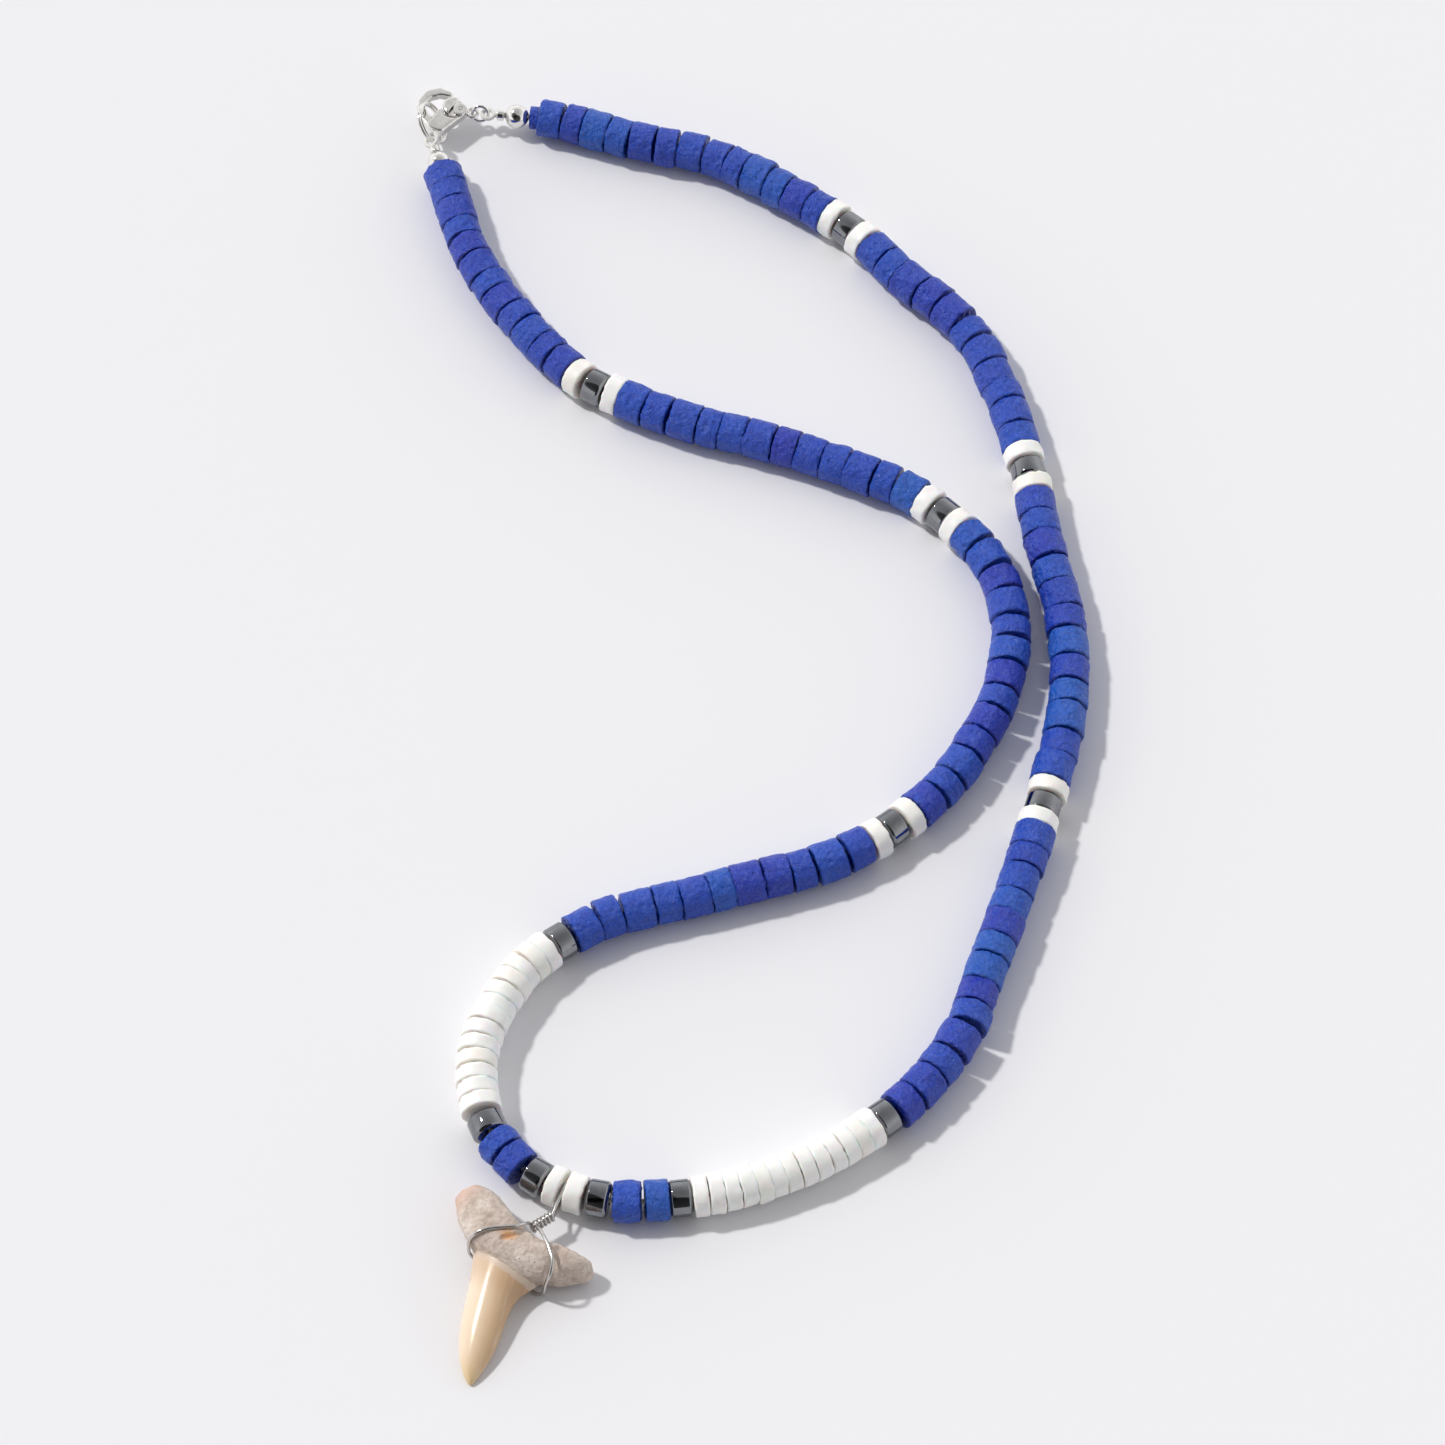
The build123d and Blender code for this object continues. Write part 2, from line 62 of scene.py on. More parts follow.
# Studio: greyer overhead, dark low on the camera's side and dark high on its left. Each row has
# a direction and its greys, from square to it at 0 to straight along it at 1. The rows multiply.
STUDIO_STRENGTH = 1.07
STUDIO_RAMPS = (
    ((0, 0, 1), [(0.0, 1.0), (0.4, 0.98), (0.75, 0.62), (1.0, 0.40)]),
    ((0, -0.866, 0.5), [(0.0, 1.0), (0.70, 0.95), (0.80, 0.85), (0.825, 0.09), (1.0, 0.05)]),
    ((-0.45, -0.45, 0.77), [(0.0, 1.0), (0.88, 1.0), (0.93, 0.16), (1.0, 0.12)]),
)

# Beads as modelled: a copy for each solid is then stretched to that solid's length
COCONUT_RADIUS = 2.4 * MM
COCONUT_LENGTH = 2.8 * MM
COCONUT_BEVEL = 0.26 * MM
COCONUT_RIM = 0.5 * MM
SHELL_RADIUS = 2.35 * MM
SHELL_LENGTH = 1.66 * MM
SHELL_BEVEL = 0.22 * MM
SHELL_RIM = 0.4 * MM
HEMATITE_RADIUS = 2.05 * MM
HEMATITE_LENGTH = 2.4 * MM
HEMATITE_BEVEL = 0.32 * MM
HEMATITE_SOFTENING = 0.07 * MM
HEMATITE_SIDES = 48
SPACER_RADIUS = 1.4 * MM
BORE_RADIUS = 0.6 * MM
BEAD_SIDES = 36
BEVEL_SEGMENTS = 3
END_CUTS = 2

# Kinds of each bead, modelled in a row, because the cloud noise differs from place to place
COCONUT_KINDS = 6
SHELL_KINDS = 5
SPACER_INDEX = 7
WORK_SPACING = 20 * MM
CLOUD_DEPTH = 2

# How far the beads of a string lean and shift, how much narrower than its solid one may be, and
# how much longer each one is, because neighbouring beads almost touch
Play = namedtuple("Play", "lean shift loss reach")
COCONUT_PLAY = Play(lean=math.radians(1.6), shift=0.1 * MM, loss=0.05, reach=0.22 * MM)
SHELL_PLAY = Play(lean=math.radians(1.8), shift=0.08 * MM, loss=0.04, reach=0.26 * MM)
HEMATITE_PLAY = Play(lean=math.radians(0.6), shift=0.02 * MM, loss=0.01, reach=0.12 * MM)

# A solid narrower than this share of a coconut bead is the spacer
SPACER_SHARE = 0.7
# Side to which every bead's axis is turned
AXIS_SIDE = Vector((0.3, 1, 0))

# Tooth: its own frame, in millimetres, has the root along X and the crown towards -Y
TOOTH_ORIGIN = Vector((-23.216, -70.051, 0)) * MM
TOOTH_TURN = math.radians(-37.3)
NECK_ALONG = -4.7
NECK_CURVE = 0.055
CROWN_SLANT = -0.40
CROWN_TOP = -4.85
FURROW_LINE = ((4.0, 0.2), (5.0, -3.2))
CRACK_LINE = ((-1.45, -2.76), (-0.12, -0.93))
PATCH_PLACE = (-1.2, -2.2)
PATCH_WAY = (0.92, 0.39)
GROOVE_HEIGHT = 1.5 * MM
TOOTH_VOXEL = 0.13 * MM


def deselect():
    bpy.ops.object.select_all(action="DESELECT")


def only(piece):
    """Makes the piece the only one that operators act on."""
    deselect()
    piece.select_set(True)
    bpy.context.view_layer.objects.active = piece


def edit(piece, kind, test, action):
    """Selects the edges or faces that pass the test and runs the edit on them."""
    only(piece)
    mesh = piece.data
    for group in (mesh.vertices, mesh.edges, mesh.polygons):
        group.foreach_set("select", [False] * len(group))
    for part in mesh.edges if kind == "EDGE" else mesh.polygons:
        part.select = bool(test(part))
    bpy.context.tool_settings.mesh_select_mode = (False, kind == "EDGE", kind == "FACE")
    bpy.ops.object.mode_set(mode="EDIT")
    action()
    bpy.ops.object.mode_set(mode="OBJECT")


def finish_mesh(piece, smooth_angle=None):
    """Puts the piece's place into its mesh, turns its faces outwards and shades it smooth."""
    only(piece)
    bpy.ops.object.transform_apply(location=True, rotation=True, scale=True)
    bpy.ops.object.mode_set(mode="EDIT")
    bpy.ops.mesh.select_all(action="SELECT")
    bpy.ops.mesh.normals_make_consistent(inside=False)
    bpy.ops.object.mode_set(mode="OBJECT")
    if smooth_angle is None:
        bpy.ops.object.shade_smooth()
    else:
        bpy.ops.object.shade_smooth_by_angle(angle=math.radians(smooth_angle))


def modify(piece, kind, **settings):
    only(piece)
    modifier = piece.modifiers.new(kind.title(), kind)
    for name, value in settings.items():
        setattr(modifier, name, value)
    bpy.ops.object.modifier_apply(modifier=modifier.name)


def roughen(piece, name, size, strength, mid_level, **settings):
    """Moves the surface in and out by cloud noise of this size."""
    texture = bpy.data.textures.new(name, "CLOUDS")
    texture.noise_scale = size
    texture.noise_depth = CLOUD_DEPTH
    modify(piece, "DISPLACE", texture=texture, strength=strength, mid_level=mid_level, **settings)


def radius_of(co, centre):
    return math.hypot(co.x - centre.x, co.y - centre.y)


# Shader maths


class Value:
    """A shader socket that takes part in Python expressions."""

    def __init__(self, finish, output):
        self.finish = finish
        self.output = output

    def maths(self, operation, first, second):
        return self.finish.node("ShaderNodeMath", {"operation": operation}, {0: first, 1: second})

    def __add__(self, other):
        return self.maths("ADD", self, other)

    __radd__ = __add__

    def __sub__(self, other):
        return self.maths("SUBTRACT", self, other)

    def __rsub__(self, other):
        return self.maths("SUBTRACT", other, self)

    def __mul__(self, other):
        return self.maths("MULTIPLY", self, other)

    __rmul__ = __mul__

    def __truediv__(self, other):
        return self.maths("DIVIDE", self, other)

    def at_least(self, low):
        return self.maths("MAXIMUM", self, low)

    def step(self, low, high):
        """0 below low, 1 above high and smooth between them."""
        settings = {"interpolation_type": "SMOOTHSTEP"}
        sockets = {"Value": self, "From Min": low, "From Max": high}
        return self.finish.node("ShaderNodeMapRange", settings, sockets)


class Finish:
    """A material whose nodes are made in Python expressions."""

    def __init__(self, name, **constants):
        self.material = bpy.data.materials.new(name)
        self.material.use_nodes = True
        self.tree = self.material.node_tree
        self.shader = self.tree.nodes["Principled BSDF"]
        for socket, value in constants.items():
            self.shader.inputs[socket.replace("_", " ")].default_value = value

    def plug(self, node, key, value):
        if isinstance(value, Value):
            self.tree.links.new(value.output, node.inputs[key])
        else:
            node.inputs[key].default_value = value

    def node(self, kind, settings, sockets, output=0):
        made = self.tree.nodes.new(kind)
        for name, value in settings.items():
            setattr(made, name, value)
        for key, value in sockets.items():
            self.plug(made, key, value)
        return Value(self, made.outputs[output])

    def place(self):
        return self.node("ShaderNodeTexCoord", {}, {}, "Object")

    def attribute(self, name):
        return self.node("ShaderNodeAttribute", {"attribute_name": name}, {}, "Fac")

    def vector(self, x, y, z):
        return self.node("ShaderNodeCombineXYZ", {}, {"X": x, "Y": y, "Z": z})

    def noise(self, size, detail=4.0, rough=0.55, place=None):
        sockets = {"Vector": place or self.place(), "Scale": 1 / size}
        sockets |= {"Detail": detail, "Roughness": rough}
        return self.node("ShaderNodeTexNoise", {}, sockets, "Fac")

    def cells(self, size, feature="F1"):
        sockets = {"Vector": self.place(), "Scale": 1 / size}
        return self.node("ShaderNodeTexVoronoi", {"feature": feature}, sockets, "Distance")

    def mix(self, share, first, second):
        return self.node("ShaderNodeMix", {"data_type": "RGBA"}, {0: share, 6: first, 7: second}, 2)

    def ramp(self, share, stops):
        made = self.tree.nodes.new("ShaderNodeValToRGB")
        fill_ramp(made.color_ramp, stops)
        self.plug(made, "Fac", share)
        return Value(self, made.outputs["Color"])

    def bump(self, height, strength, distance):
        sockets = {"Height": height, "Strength": strength, "Distance": distance}
        return self.node("ShaderNodeBump", {}, sockets, "Normal")

    def set(self, **sockets):
        for name, value in sockets.items():
            self.plug(self.shader, name.replace("_", " "), value)
        return self.material


def fill_ramp(ramp, stops):
    while len(ramp.elements) < len(stops):
        ramp.elements.new(0.5)
    for element, (at, colour) in zip(ramp.elements, stops):
        element.position = at
        element.color = colour


def srgb(red, green, blue):
    """Colour as picked on a screen, 0 to 255, in the shader's own linear values."""
    shares = [c / 255 for c in (red, green, blue)]
    linear = [s / 12.92 if s <= 0.04045 else ((s + 0.055) / 1.055) ** 2.4 for s in shares]
    return (*linear, 1.0)


# Finishes


def coconut_finish():
    f = Finish("dyed_coconut", Specular_IOR_Level=0.6)
    tone = f.attribute("tone")
    rim = f.attribute("rim")
    colour = f.ramp(tone, [
        (0.0, srgb(14, 46, 178)),
        (0.3, srgb(4, 62, 184)),
        (0.75, srgb(0, 72, 190)),
        (1.0, srgb(0, 88, 192)),
    ])
    cloud = f.noise(1.3 * MM)
    colour = f.mix(cloud.step(0.5, 0.8) * 0.4, colour, srgb(30, 92, 210))
    colour = f.mix((1 - cloud.step(0.25, 0.5)) * 0.3, colour, srgb(20, 32, 150))
    grain_and_hollow_shade = f.noise(0.4 * MM, rough=0.65)
    # Painted shade: darker where the grain noise, which is also the bump's height, is low, in its hollows
    colour = f.mix((1 - grain_and_hollow_shade.step(0.3, 0.48)) * 0.35, colour, srgb(4, 24, 112))
    # Painted shade in the seams: darker towards each bead's ends, where neighbouring beads meet
    colour = f.mix(rim.step(0.5, 1.0) * 0.45, colour, srgb(8, 16, 84))
    wrinkle = f.cells(0.7 * MM, "SMOOTH_F1")
    fine = f.noise(0.14 * MM, detail=2.0)
    height = grain_and_hollow_shade + wrinkle + fine * 0.15
    rough = 0.2 + fine * 0.1 + (1 - cloud.step(0.3, 0.6)) * 0.12
    return f.set(Base_Color=colour, Roughness=rough, Normal=f.bump(height, 1.0, 0.3 * MM))


def shell_finish():
    f = Finish("white_shell", Specular_IOR_Level=0.5, Subsurface_Weight=0.35, Subsurface_Scale=0.6 * MM)
    tone = f.attribute("tone")
    rim = f.attribute("rim")
    colour = f.ramp(tone, [
        (0.0, srgb(252, 252, 251)),
        (0.8, srgb(251, 250, 247)),
        (1.0, srgb(248, 245, 239)),
    ])
    veins = f.noise(0.9 * MM, detail=3.0)
    colour = f.mix(veins.step(0.55, 0.8) * 0.35, colour, srgb(238, 232, 220))
    colour = f.mix(rim.step(0.8, 1.0) * 0.35, colour, srgb(236, 228, 212))
    height = f.noise(0.5 * MM)
    rough = 0.36 + veins * 0.14
    return f.set(Base_Color=colour, Roughness=rough, Normal=f.bump(height, 0.4, 0.1 * MM))


def hematite_finish():
    f = Finish("hematite", Metallic=1.0)
    cloud = f.noise(1.6 * MM, detail=2.0)
    colour = f.mix(cloud.step(0.3, 0.8), srgb(126, 128, 132), srgb(142, 144, 148))
    scuffs = f.noise(0.35 * MM).step(0.6, 0.8)
    return f.set(Base_Color=colour, Roughness=0.04 + scuffs * 0.08)


def steel_finish(name, colour, low, high):
    f = Finish(name, Metallic=1.0)
    cloud = f.noise(0.7 * MM, detail=3.0)
    tint = f.mix(cloud.step(0.4, 0.7) * 0.25, colour, srgb(190, 184, 176))
    return f.set(Base_Color=tint, Roughness=low + cloud * (high - low))


def thread_finish():
    f = Finish("thread", Specular_IOR_Level=0.6)
    strands = f.noise(0.12 * MM, detail=2.0)
    colour = f.mix(strands, srgb(205, 205, 200), srgb(235, 235, 232))
    rough = 0.25 + strands * 0.2
    return f.set(Base_Color=colour, Roughness=rough, Normal=f.bump(strands, 0.4, 0.04 * MM))


def tooth_finish():
    f = Finish("fossil_tooth", Specular_IOR_Level=0.5)
    across = f.attribute("across")
    along = f.attribute("along")
    right = across.at_least(0.0)
    above = along - (right * right * NECK_CURVE + NECK_ALONG)
    ragged = f.noise(0.9 * MM, detail=3.0)
    root = (above + ragged * 0.5).step(0.15, 0.4)
    neck = (above + ragged * 0.9).step(-0.5, 0.0)
    off_axis = across - (along - CROWN_TOP) * CROWN_SLANT

    # Crown: creamy enamel, streaked along its length, browner at its neck, with painted light on its left
    # side and painted shade towards its right edge
    streaks = f.noise(1.0, place=f.vector(off_axis * 1.6, along * 0.16, 0.0))
    # Painted light and shade across the crown: lighter and creamier on the left, darker and browner towards
    # the right
    crown = f.ramp((off_axis + streaks * 1.4).step(-2.6, 3.4), [
        (0.0, srgb(240, 220, 196)),
        (0.35, srgb(236, 212, 184)),
        (0.6, srgb(228, 198, 164)),
        (0.85, srgb(212, 176, 136)),
        (1.0, srgb(196, 158, 118)),
    ])
    crown = f.mix(streaks.step(0.5, 0.7) * 0.35, crown, srgb(246, 232, 210))
    crown = f.mix((1 - along.step(-17.2, -14.0)) * 0.55, crown, srgb(220, 192, 136))
    crown = f.mix(above.step(-4.2, -1.4) * 0.5, crown, srgb(196, 158, 124))

    # Root: pale bone, pinker at its left tip, with an orange patch and a few dark specks
    sand = f.noise(0.45 * MM, detail=5.0, rough=0.6)
    broad = f.noise(2.6 * MM, detail=2.0)
    bone = f.mix((sand * 0.5 + broad * 0.7).step(0.42, 0.78), srgb(188, 168, 156), srgb(221, 208, 198))
    bone = f.mix((1 - across.step(-9.4, -6.6)) * 0.55, bone, srgb(216, 172, 152))
    off_x = across - PATCH_PLACE[0]
    off_y = along - PATCH_PLACE[1]
    patch_x = off_x * PATCH_WAY[0] + off_y * PATCH_WAY[1]
    patch_y = off_y * PATCH_WAY[0] - off_x * PATCH_WAY[1]
    distance = patch_x * patch_x / 1.9 + patch_y * patch_y / 0.8 + ragged * 0.7 + sand * 0.5
    bone = f.mix((1 - distance.step(0.6, 1.6)) * 0.75, bone, srgb(222, 170, 118))
    bone = f.mix((1 - distance.step(0.4, 0.9)) * 0.5, bone, srgb(212, 146, 88))
    pores = f.cells(0.5 * MM)
    pits = (1 - pores.step(0.06, 0.2)) * broad.step(0.5, 0.62)
    bone = f.mix(pits * 0.55, bone, srgb(146, 122, 106))
    specks = (1 - f.cells(2.3 * MM).step(0.05, 0.09)) * (1 - neck * 0.3)

    pale = f.mix(ragged, srgb(222, 204, 188), srgb(206, 184, 164))
    colour = f.mix(root, f.mix(neck, crown, pale), bone)
    colour = f.mix(specks * 0.5, colour, srgb(176, 96, 78))
    rough = 0.2 + root * 0.42 + neck * 0.1 + streaks * 0.08
    crumbs = f.noise(0.2 * MM, detail=3.0)
    height = root * (sand * 0.9 + crumbs * 0.45 - pits * 0.8) + streaks * 0.1
    return f.set(Base_Color=colour, Roughness=rough, Normal=f.bump(height, 0.8, 0.2 * MM))


# Beads


def drilled_drum(name, index, radius, length, rings, sides=BEAD_SIDES):
    """A cylinder with a hole through it, divided along its side and across its ends."""
    centre = Vector((index * WORK_SPACING, 0, 0))
    deselect()
    bpy.ops.mesh.primitive_cylinder_add(
        vertices=sides, radius=radius, depth=length, end_fill_type="NGON", location=centre
    )
    piece = bpy.context.object
    piece.name = name
    bpy.ops.object.transform_apply(location=True)

    def at_end(face):
        return abs(face.normal.z) > 0.9

    def at_bore(face):
        return at_end(face) and radius_of(face.center, centre) < BORE_RADIUS / 2

    def edge_ends(edge):
        return [piece.data.vertices[i].co for i in edge.vertices]

    def along(edge):
        a, b = edge_ends(edge)
        return abs(a.z - b.z) > length / 2 and radius_of(a, centre) > BORE_RADIUS * 1.5

    def across(edge):
        a, b = edge_ends(edge)
        wide = abs(radius_of(a, centre) - radius_of(b, centre)) > BORE_RADIUS / 4
        return wide and abs(a.z - b.z) < length / 4

    edit(piece, "FACE", at_end, lambda: bpy.ops.mesh.inset(thickness=radius - BORE_RADIUS))
    edit(piece, "FACE", at_bore, lambda: bpy.ops.mesh.bridge_edge_loops())
    edit(piece, "EDGE", along, lambda: bpy.ops.mesh.subdivide(number_cuts=rings))
    edit(piece, "EDGE", across, lambda: bpy.ops.mesh.subdivide(number_cuts=END_CUTS))
    return piece, centre


def bevel_rim(piece, centre, radius, length, offset, segments=BEVEL_SEGMENTS):
    def rim(edge):
        a, b = [piece.data.vertices[i].co for i in edge.vertices]
        at_ends = all(abs(abs(co.z) - length / 2) < SAME_PLACE for co in (a, b))
        return at_ends and min(radius_of(a, centre), radius_of(b, centre)) > radius * 0.97

    edit(piece, "EDGE", rim, lambda: bpy.ops.mesh.bevel(offset=offset, segments=segments))


def mark_rim(piece, length, depth):
    """Writes how near each point is to the bead's ends, for the painted shade in the coconut beads' seams
    and the shell beads' darker, creamier ends.
    """
    attribute = piece.data.attributes.new("rim", "FLOAT", "POINT")
    values = [min(1.0, max(0.0, 1 - (length / 2 - abs(v.co.z)) / depth)) for v in piece.data.vertices]
    attribute.data.foreach_set("value", values)


def to_origin(piece, centre):
    piece.data.transform(Matrix.Translation(-centre))


def coconut_kind(index):
    piece, centre = drilled_drum(f"coconut_kind_{index}", index, COCONUT_RADIUS, COCONUT_LENGTH, rings=5)
    bevel_rim(piece, centre, COCONUT_RADIUS, COCONUT_LENGTH, COCONUT_BEVEL)
    roughen(piece, "coconut_swell", size=2.0 * MM, strength=0.34 * MM, mid_level=0.58)
    roughen(piece, "coconut_chips", size=0.6 * MM, strength=0.24 * MM, mid_level=0.6)
    finish_mesh(piece, smooth_angle=50)
    mark_rim(piece, COCONUT_LENGTH, COCONUT_RIM)
    to_origin(piece, centre)
    return piece


def shell_kind(index):
    piece, centre = drilled_drum(f"shell_kind_{index}", index, SHELL_RADIUS, SHELL_LENGTH, rings=3)
    bevel_rim(piece, centre, SHELL_RADIUS, SHELL_LENGTH, SHELL_BEVEL)
    roughen(piece, "shell_swell", size=1.6 * MM, strength=0.24 * MM, mid_level=0.55)
    roughen(piece, "shell_scallops", size=0.7 * MM, strength=0.26 * MM, mid_level=0.55)
    finish_mesh(piece, smooth_angle=60)
    mark_rim(piece, SHELL_LENGTH, SHELL_RIM)
    to_origin(piece, centre)
    return piece


def hematite_kind(index):
    piece, centre = drilled_drum(
        f"hematite_kind_{index}", index, HEMATITE_RADIUS, HEMATITE_LENGTH, rings=1, sides=HEMATITE_SIDES
    )
    bevel_rim(piece, centre, HEMATITE_RADIUS, HEMATITE_LENGTH, HEMATITE_BEVEL, segments=1)
    softening = {"width": HEMATITE_SOFTENING, "segments": 2}
    modify(piece, "BEVEL", limit_method="ANGLE", angle_limit=math.radians(30), **softening)
    finish_mesh(piece, smooth_angle=25)
    to_origin(piece, centre)
    return piece


def spacer_kind(index):
    piece, centre = drilled_drum(f"spacer_kind_{index}", index, SPACER_RADIUS, COCONUT_LENGTH, rings=3)
    roughen(piece, "spacer_swell", size=0.9 * MM, strength=0.2 * MM, mid_level=0.5)
    finish_mesh(piece, smooth_angle=50)
    mark_rim(piece, COCONUT_LENGTH, COCONUT_RIM)
    to_origin(piece, centre)
    return piece


def merged_copy(node):
    """The CAD piece's mesh with the corners at one place joined, for reading or for a piece."""
    made = bmesh.new()
    made.from_mesh(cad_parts[node].data)
    bmesh.ops.remove_doubles(made, verts=made.verts, dist=SAME_PLACE)
    return made


def loose_parts(made):
    """The faces of each bead, found by walking over the edges that they share."""
    seen = set()
    parts = []
    for start in made.faces:
        if start in seen:
            continue
        seen.add(start)
        part = [start]
        for face in part:
            for edge in face.edges:
                for other in edge.link_faces:
                    if other not in seen:
                        seen.add(other)
                        part.append(other)
        parts.append(part)
    return parts


def bead_axis(faces):
    """The way that most of the bead's surface faces, which is that of its flat ends."""
    flats = {}
    for face in faces:
        normal = face.normal if face.normal.dot(AXIS_SIDE) > 0 else -face.normal
        key = tuple(round(x, 2) for x in normal)
        area, total = flats.get(key, (0.0, Vector()))
        flats[key] = (area + face.calc_area(), total + normal * face.calc_area())
    return max(flats.values(), key=lambda flat: flat[0])[1].normalized()


def bead_places(node):
    """Centre, axis, length and radius of each bead of a string, in order of Y and then X."""
    made = merged_copy(node)
    places = []
    for faces in loose_parts(made):
        axis = bead_axis(faces)
        corners = {corner for face in faces for corner in face.verts}
        reach = [corner.co.dot(axis) for corner in corners]
        middle = sum((corner.co for corner in corners), Vector()) / len(corners)
        middle += axis * ((max(reach) + min(reach)) / 2 - middle.dot(axis))
        arms = [corner.co - middle for corner in corners]
        radius = max((arm - axis * arm.dot(axis)).length for arm in arms)
        places.append((middle, axis, max(reach) - min(reach), radius))
    made.free()
    return sorted(places, key=lambda place: (round(place[0].y, 3), round(place[0].x, 3)))


def bead_matrix(middle, axis, turn, width, stretch, lean, shift):
    side = UP.cross(axis).normalized()
    basis = Matrix((side, UP, axis)).transposed().to_4x4()
    place = Matrix.Translation(middle + side * shift[0] + UP * shift[1])
    tilt = Matrix.Rotation(lean[0], 4, "X") @ Matrix.Rotation(lean[1], 4, "Y")
    return place @ basis @ tilt @ Matrix.Rotation(turn, 4, "Z") @ Matrix.Diagonal((width, width, stretch, 1))


def bead_copy(name, kind, place, tone):
    """A modelled bead at its place, with the tone that the shader reads."""
    mesh = kind.data.copy()
    mesh.transform(place)
    attribute = mesh.attributes.new("tone", "FLOAT", "POINT")
    attribute.data.foreach_set("value", [tone] * len(mesh.vertices))
    copy = bpy.data.objects.new(name, mesh)
    bpy.context.scene.collection.objects.link(copy)
    return copy


def string_piece(name, node, kinds, spacers, model_length, material, play):
    """One piece of all the beads of a solid, each a copy of one of the modelled kinds."""
    order = random.Random(name)
    copies = []
    for number, (middle, axis, length, radius) in enumerate(bead_places(node)):
        kind = order.choice(spacers if radius < SPACER_SHARE * COCONUT_RADIUS else kinds)
        turn = order.uniform(0, 2 * math.pi)
        lean = [order.gauss(0, play.lean) for _ in range(2)]
        shift = [order.uniform(-1, 1) * play.shift, order.uniform(0.3, 1.2) * play.shift]
        width = 1 - order.uniform(0, play.loss)
        shift[1] -= (1 - width) * radius
        stretch = (length + play.reach) / model_length
        place = bead_matrix(middle, axis, turn, width, stretch, lean, shift)
        copies.append(bead_copy(f"{name}_{number}", kind, place, order.random()))
    only(copies[0])
    for copy in copies:
        copy.select_set(True)
    bpy.ops.object.join()
    piece = bpy.context.object
    piece.name = name
    piece.data.materials.clear()
    piece.data.materials.append(material)
    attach(piece, "necklace")
    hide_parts(node)
    return piece


def make_strings():
    coconuts = [coconut_kind(i) for i in range(COCONUT_KINDS)]
    shells = [shell_kind(i) for i in range(SHELL_KINDS)]
    hematites = [hematite_kind(0)]
    spacers = [spacer_kind(SPACER_INDEX)]
    # Name of the beads, slot, kinds, modelled length, material and play of each string
    rows = (
        ("coconut", "blue_coconut", coconuts, COCONUT_LENGTH, coconut_finish(), COCONUT_PLAY),
        ("shell", "white_shell", shells, SHELL_LENGTH, shell_finish(), SHELL_PLAY),
        ("hematite", "hematite", hematites, HEMATITE_LENGTH, hematite_finish(), HEMATITE_PLAY),
    )
    for side in ("right", "left"):
        for beads, slot, kinds, length, material, play in rows:
            name = f"{beads}_string_{side}"
            node = f"{beads}_beads_{side}"
            string = string_piece(name, node, kinds, spacers, length, material, play)
    for kind in coconuts + shells + hematites + spacers:
        bpy.data.objects.remove(kind)


# Tooth


def solid_copy(name, node):
    """The CAD piece's own mesh with its corners joined, as a new piece."""
    made = merged_copy(node)
    mesh = bpy.data.meshes.new(name)
    made.to_mesh(mesh)
    made.free()
    piece = bpy.data.objects.new(name, mesh)
    bpy.context.scene.collection.objects.link(piece)
    return piece


def weigh(piece, name, weight):
    """A vertex group whose weights come from each corner's place."""
    group = piece.vertex_groups.new(name=name)
    for corner in piece.data.vertices:
        group.add([corner.index], min(1.0, max(0.0, weight(corner.co))), "REPLACE")


def smooth_step(value, low, high):
    share = min(1.0, max(0.0, (value - low) / (high - low)))
    return share * share * (3 - 2 * share)


def tooth_point(co):
    """Place along the root and along the crown, in millimetres of the tooth's own frame."""
    own = Matrix.Rotation(-TOOTH_TURN, 3, "Z") @ (co - TOOTH_ORIGIN)
    return own.x / MM, own.y / MM


def from_line(point, start, end):
    a, b, p = Vector(start), Vector(end), Vector(point)
    share = min(1.0, max(0.0, (p - a).dot(b - a) / (b - a).length_squared))
    return (p - a - (b - a) * share).length


def above_neck(co):
    across, along = tooth_point(co)
    return along - NECK_ALONG - NECK_CURVE * max(across, 0.0) ** 2


def root_share(co):
    return smooth_step(above_neck(co), -0.1, 0.4) * smooth_step(co.z / MM, 0.3, 1.2)


def groove_share(co, line, near, far):
    """1 near a line on the tooth's upper side and 0 far from it, in millimetres."""
    if co.z < GROOVE_HEIGHT:
        return 0.0
    return 1 - smooth_step(from_line(tooth_point(co), *line), near, far)


def make_tooth():
    piece = solid_copy("fossil_tooth", "shark_tooth")
    modify(piece, "REMESH", mode="VOXEL", voxel_size=TOOTH_VOXEL)
    modify(piece, "SMOOTH", iterations=6, factor=0.5)
    weigh(piece, "root", root_share)
    weigh(piece, "furrow", lambda co: groove_share(co, FURROW_LINE, near=0.1, far=0.8))
    weigh(piece, "crack", lambda co: groove_share(co, CRACK_LINE, near=0.08, far=0.45))
    modify(piece, "DISPLACE", vertex_group="root", strength=0.12 * MM, mid_level=0.0)
    roughen(piece, "root_lumps", size=2.2 * MM, strength=0.45 * MM, mid_level=0.5, vertex_group="root")
    roughen(piece, "root_grit", size=0.5 * MM, strength=0.14 * MM, mid_level=0.5, vertex_group="root")
    modify(piece, "DISPLACE", vertex_group="furrow", strength=-0.35 * MM, mid_level=0.0)
    modify(piece, "DISPLACE", vertex_group="crack", strength=-0.4 * MM, mid_level=0.0)
    points = [tooth_point(corner.co) for corner in piece.data.vertices]
    for name, values in zip(("across", "along"), zip(*points)):
        attribute = piece.data.attributes.new(name, "FLOAT", "POINT")
        attribute.data.foreach_set("value", values)
    finish_mesh(piece)
    piece.data.materials.append(tooth_finish())
    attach(piece, "necklace")
    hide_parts("shark_tooth")


# Clasp, rings, wire and thread


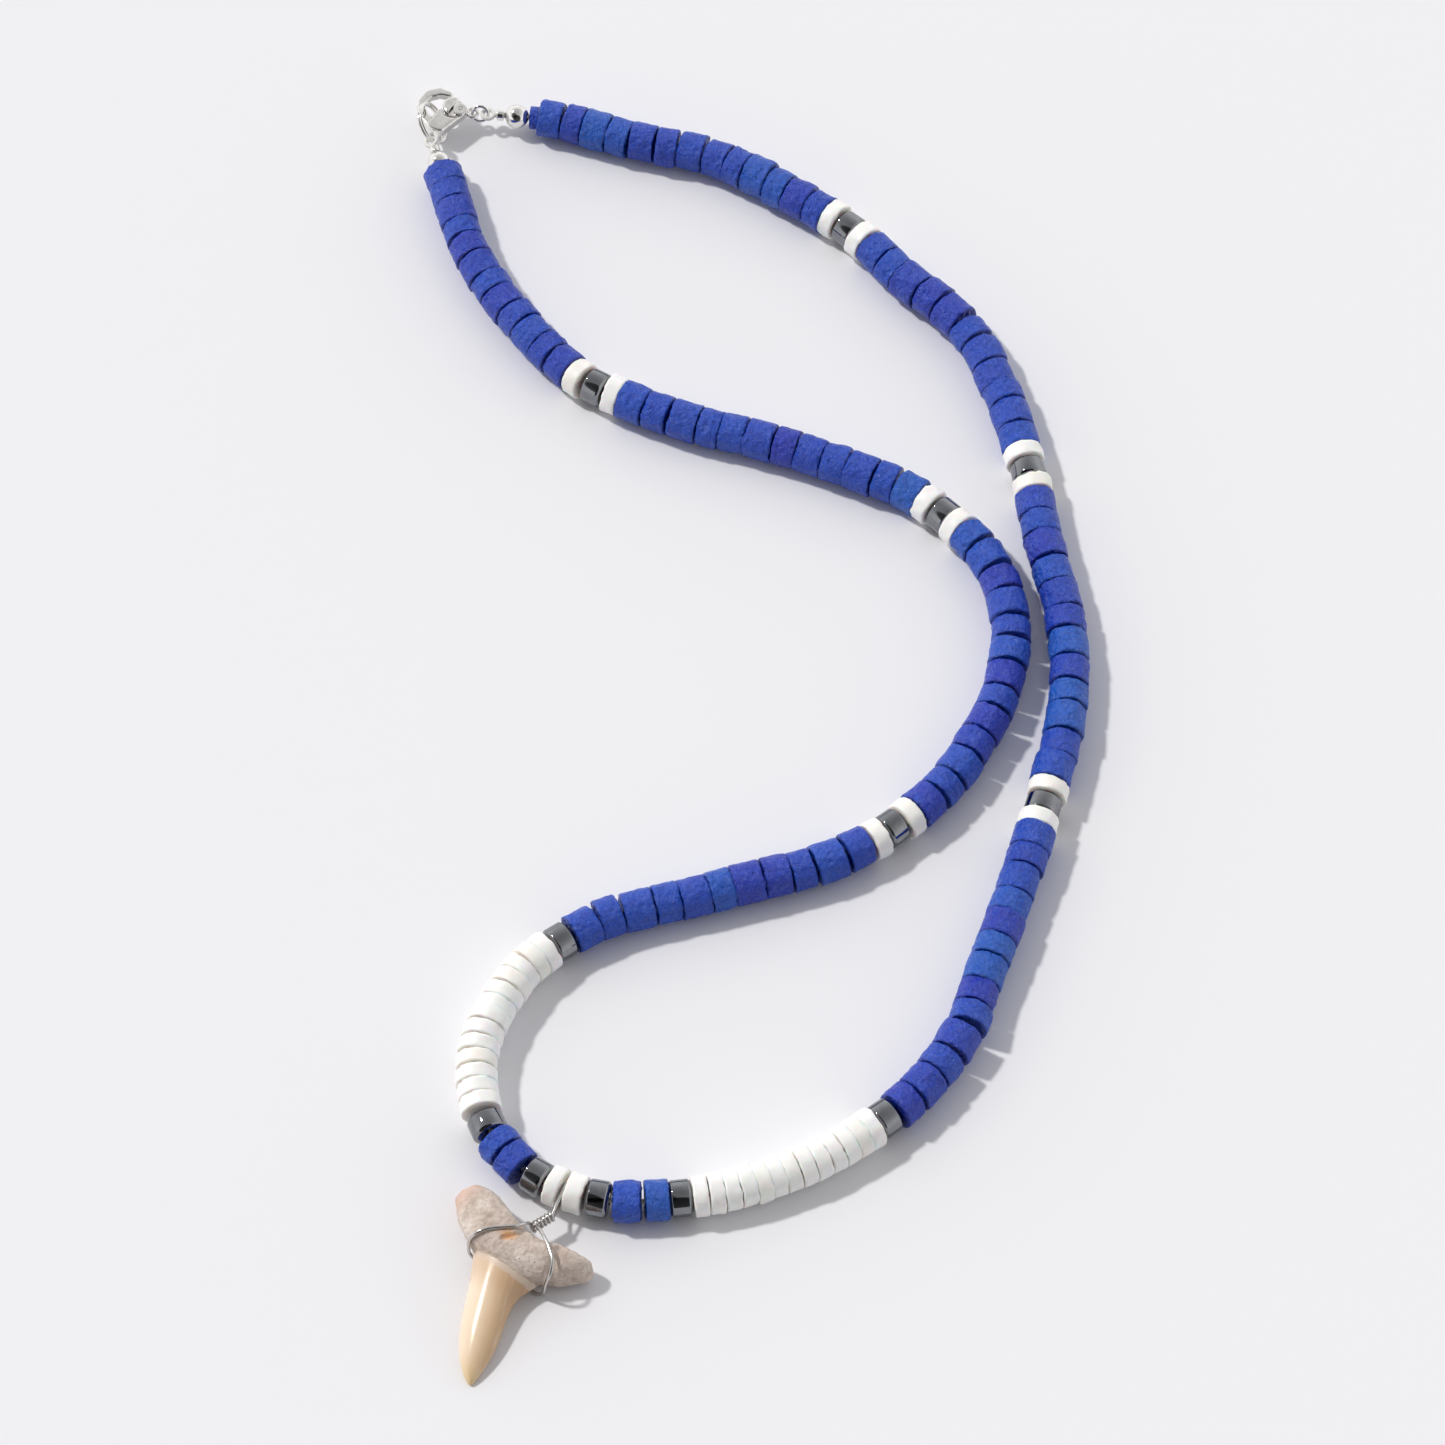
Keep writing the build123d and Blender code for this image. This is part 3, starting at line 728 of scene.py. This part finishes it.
def cast_piece(name, node, body, material, voxel, rounds):
    """A solid with the soft edges of polished cast steel."""
    piece = solid_copy(name, node)
    modify(piece, "REMESH", mode="VOXEL", voxel_size=voxel)
    modify(piece, "SMOOTH", iterations=rounds, factor=0.5)
    finish_mesh(piece)
    piece.data.materials.append(material)
    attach(piece, body)
    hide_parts(node)


def make_fittings():
    steel = steel_finish("polished_steel", srgb(242, 240, 237), low=0.04, high=0.12)
    wire = steel_finish("wire_steel", srgb(200, 198, 196), low=0.14, high=0.26)
    cast_piece("cast_clasp", "clasp_body", "necklace", steel, voxel=0.06 * MM, rounds=12)
    cast_piece("cast_lever", "clasp_lever", "lever", steel, voxel=0.05 * MM, rounds=16)
    finishes = {"thread": thread_finish(), "tooth_wire": wire}
    for name in ("jump_ring", "split_ring", "clasp_pin", "crimp_bead_right", "crimp_bead_left",
                 "ball_bead_right", "ball_bead_left"):
        finishes[name] = steel
    for name, material in finishes.items():
        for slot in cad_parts[name].material_slots:
            slot.material = material


# Stage and camera


def make_floor():
    deselect()
    bpy.ops.mesh.primitive_plane_add(size=FLOOR_SIZE)
    floor = bpy.context.object
    floor.name = "floor"
    f = Finish("pale_floor", Roughness=0.6, Specular_IOR_Level=0.2)
    floor.data.materials.append(f.set(Base_Color=srgb(239, 239, 243)))


def make_sun():
    sun = bpy.data.lights.new("sun", "SUN")
    sun.energy = SUN_STRENGTH
    sun.angle = SUN_ANGLE
    sun.color = SUN_COLOUR
    lamp = bpy.data.objects.new("sun", sun)
    lamp.rotation_euler = Vector(SUN_WAY).to_track_quat("-Z", "Y").to_euler()
    bpy.context.scene.collection.objects.link(lamp)


def make_studio():
    """A pale world all round, whose ramps multiply into the background's colour."""
    world = bpy.data.worlds.new("studio")
    world.use_nodes = True
    tree = world.node_tree
    place = tree.nodes.new("ShaderNodeTexCoord")
    ramps = []
    for way, stops in STUDIO_RAMPS:
        facing = tree.nodes.new("ShaderNodeVectorMath")
        facing.operation = "DOT_PRODUCT"
        facing.inputs[1].default_value = way
        tree.links.new(place.outputs["Generated"], facing.inputs[0])
        ramp = tree.nodes.new("ShaderNodeValToRGB")
        fill_ramp(ramp.color_ramp, [(at, (grey, grey, grey, 1.0)) for at, grey in stops])
        tree.links.new(facing.outputs["Value"], ramp.inputs["Fac"])
        ramps.append(ramp.outputs["Color"])
    light = ramps[0]
    for ramp in ramps[1:]:
        mix = tree.nodes.new("ShaderNodeMix")
        mix.data_type = "RGBA"
        mix.blend_type = "MULTIPLY"
        mix.inputs[0].default_value = 1.0
        tree.links.new(light, mix.inputs[6])
        tree.links.new(ramp, mix.inputs[7])
        light = mix.outputs[2]
    background = tree.nodes["Background"]
    tree.links.new(light, background.inputs["Color"])
    background.inputs["Strength"].default_value = STUDIO_STRENGTH
    bpy.context.scene.world = world


def make_camera():
    data = bpy.data.cameras.new("camera")
    data.sensor_width = SENSOR
    data.lens = SENSOR * FOCAL_PX / PICTURE_PX
    data.clip_start = CLIP_START
    camera = bpy.data.objects.new("camera", data)
    back = Vector((0, -math.cos(CAMERA_ELEVATION), math.sin(CAMERA_ELEVATION)))
    camera.location = CAMERA_AIM + back * CAMERA_DISTANCE
    camera.rotation_euler = (math.pi / 2 - CAMERA_ELEVATION, 0, 0)
    bpy.context.scene.collection.objects.link(camera)
    bpy.context.scene.camera = camera


make_camera()
make_floor()
make_sun()
make_studio()
bpy.context.scene.view_settings.view_transform = "Standard"
make_strings()
make_tooth()
make_fittings()
